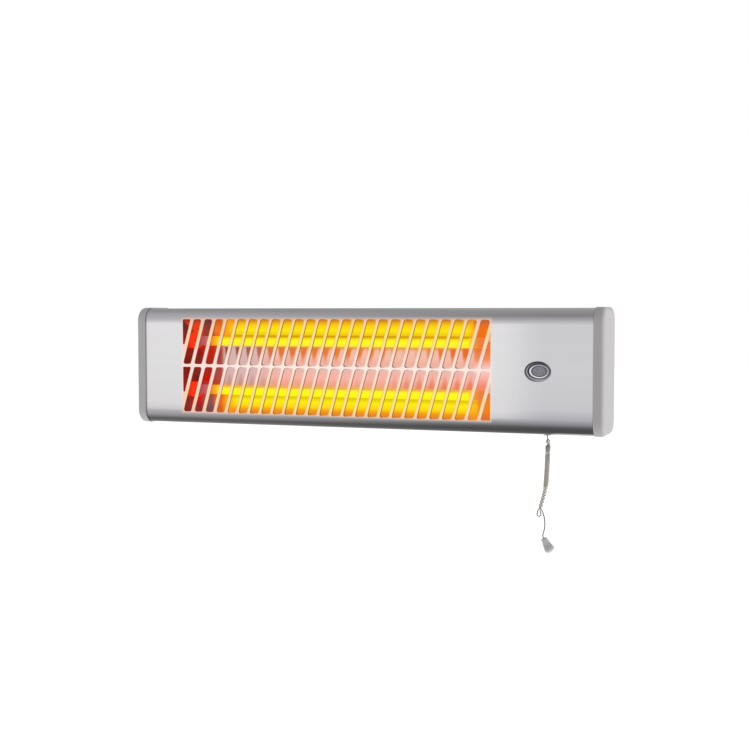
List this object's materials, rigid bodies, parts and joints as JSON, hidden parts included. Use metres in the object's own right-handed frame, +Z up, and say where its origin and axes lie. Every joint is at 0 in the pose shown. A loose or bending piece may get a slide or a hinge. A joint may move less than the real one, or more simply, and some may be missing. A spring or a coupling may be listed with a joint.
{
  "type": "electric bar heater",
  "caption": "Wall-mounted bar heater: two quartz tubes behind a slanted-slot grille in a brushed cover, on a tilting bracket, with a wound pull cord.",
  "frame": {"origin": "centre of the wall bracket's back face, midway between its two wall screw holes", "axes": "+X along the heater, to the right as seen from the room; +Y into the wall; +Z up; the grille faces -Y"},
  "size_m": [0.518, 0.0998, 0.249],
  "materials": {
    "cover_steel": "satin, brushed along the length",
    "cap_plastic": "light grey moulded plastic",
    "casing_steel": "silver-grey paint",
    "bracket_steel": "silver-grey powder coat",
    "fastener_steel": "zinc plated",
    "rivet_aluminium": "plain",
    "washer_fibre": "fibre, matt",
    "reflector_aluminium": "bright rolled aluminium, lit orange by the tubes",
    "carrier_steel": "bare zinc-coated sheet",
    "quartz_glass": "clear quartz, glowing yellow when on",
    "coil_wire": "resistance wire, glowing",
    "ceramic": "unglazed white ceramic",
    "terminal_brass": "plain brass",
    "terminal_steel": "plain",
    "wire_red": "silicone sleeve",
    "wire_blue": "silicone sleeve",
    "wire_brown": "silicone sleeve",
    "wire_green": "silicone sleeve, green with a yellow stripe",
    "block_plastic": "white nylon",
    "switch_plastic": "off-white thermoset",
    "lever_plastic": "acetal",
    "spring_steel": "music wire",
    "cutout_metal": "pressed cap",
    "cord_nylon": "twisted nylon cord, light grey",
    "eyelet_plastic": "pale grey nylon",
    "knob_plastic": "pale grey moulded plastic",
    "badge_ring_metal": "dark bright ring",
    "badge_plate_metal": "bare spun plate with plain rings",
    "gland_plastic": "grey nylon"
  },
  "bodies": {
    "bracket": {"wall_bracket": "bracket_steel"},
    "heater": {"hinge_plate": "casing_steel", "pivot_screws": "fastener_steel", "friction_washers": "washer_fibre", "pivot_nuts": "fastener_steel", "hinge_rivets": "rivet_aluminium", "front_cover": "cover_steel", "rear_casing": "casing_steel", "left_end_cap": "cap_plastic", "right_end_cap": "cap_plastic", "end_cap_screws": "fastener_steel", "reflector": "reflector_aluminium", "tube_carrier_left": "carrier_steel", "tube_carrier_right": "carrier_steel", "carrier_rivets": "rivet_aluminium", "quartz_tube_upper": "quartz_glass", "quartz_tube_lower": "quartz_glass", "heating_coil_upper": "coil_wire", "heating_coil_lower": "coil_wire", "ceramic_ends_left": "ceramic", "ceramic_ends_right": "ceramic", "terminal_pins": "terminal_steel", "terminal_nuts": "terminal_brass", "link_wire": "wire_red", "return_wire": "wire_blue", "feed_wire_upper": "wire_red", "feed_wire_lower": "wire_red", "supply_wire": "wire_brown", "earth_wire": "wire_green", "earth_screw": "terminal_brass", "terminal_block": "block_plastic", "terminal_screws": "terminal_brass", "thermal_cutout": "cutout_metal", "switch_body": "switch_plastic", "switch_screws": "fastener_steel", "switch_terminals": "terminal_brass", "lever_pin": "fastener_steel", "lever_spring": "spring_steel", "cord_eyelet": "eyelet_plastic", "badge_ring": "badge_ring_metal", "badge_plate": "badge_plate_metal", "badge_clip": "spring_steel", "cable_gland": "gland_plastic", "gland_nut": "gland_plastic"},
    "lever": {"switch_lever": "lever_plastic"},
    "cord_slider": {"cord_lead": "cord_nylon"},
    "hanging_cord": {"cord_winding": "cord_nylon", "cord_tail": "cord_nylon", "pull_knob": "knob_plastic"}
  },
  "joints": [
    {"name": "body_tilt", "type": "hinge", "parent": "bracket", "child": "heater", "pos_m": [0, -0.024, 0], "axis": [1, 0, 0], "range_deg": [0, 30]},
    {"name": "cord_pull", "type": "slide", "parent": "heater", "child": "cord_slider", "axis": [0, 0, -1], "range_m": [0, 0.01], "stiffness_N_per_m": 300},
    {"name": "lever_swing", "type": "hinge", "parent": "heater", "child": "lever", "pos_m": [0.177, -0.068, -0.038], "axis": [0, 1, 0], "range_deg": [0, 29]},
    {"name": "cord_plumb", "type": "hinge", "parent": "cord_slider", "child": "hanging_cord", "pos_m": [0.197, -0.068, -0.0652], "axis": [1, 0, 0], "range_deg": [-30, 0]}
  ],
  "couplings": [
    {"joint": "lever_swing", "follows": "cord_pull", "rad_per_m": 50.5},
    {"joint": "cord_plumb", "follows": "body_tilt", "ratio": -1}
  ]
}
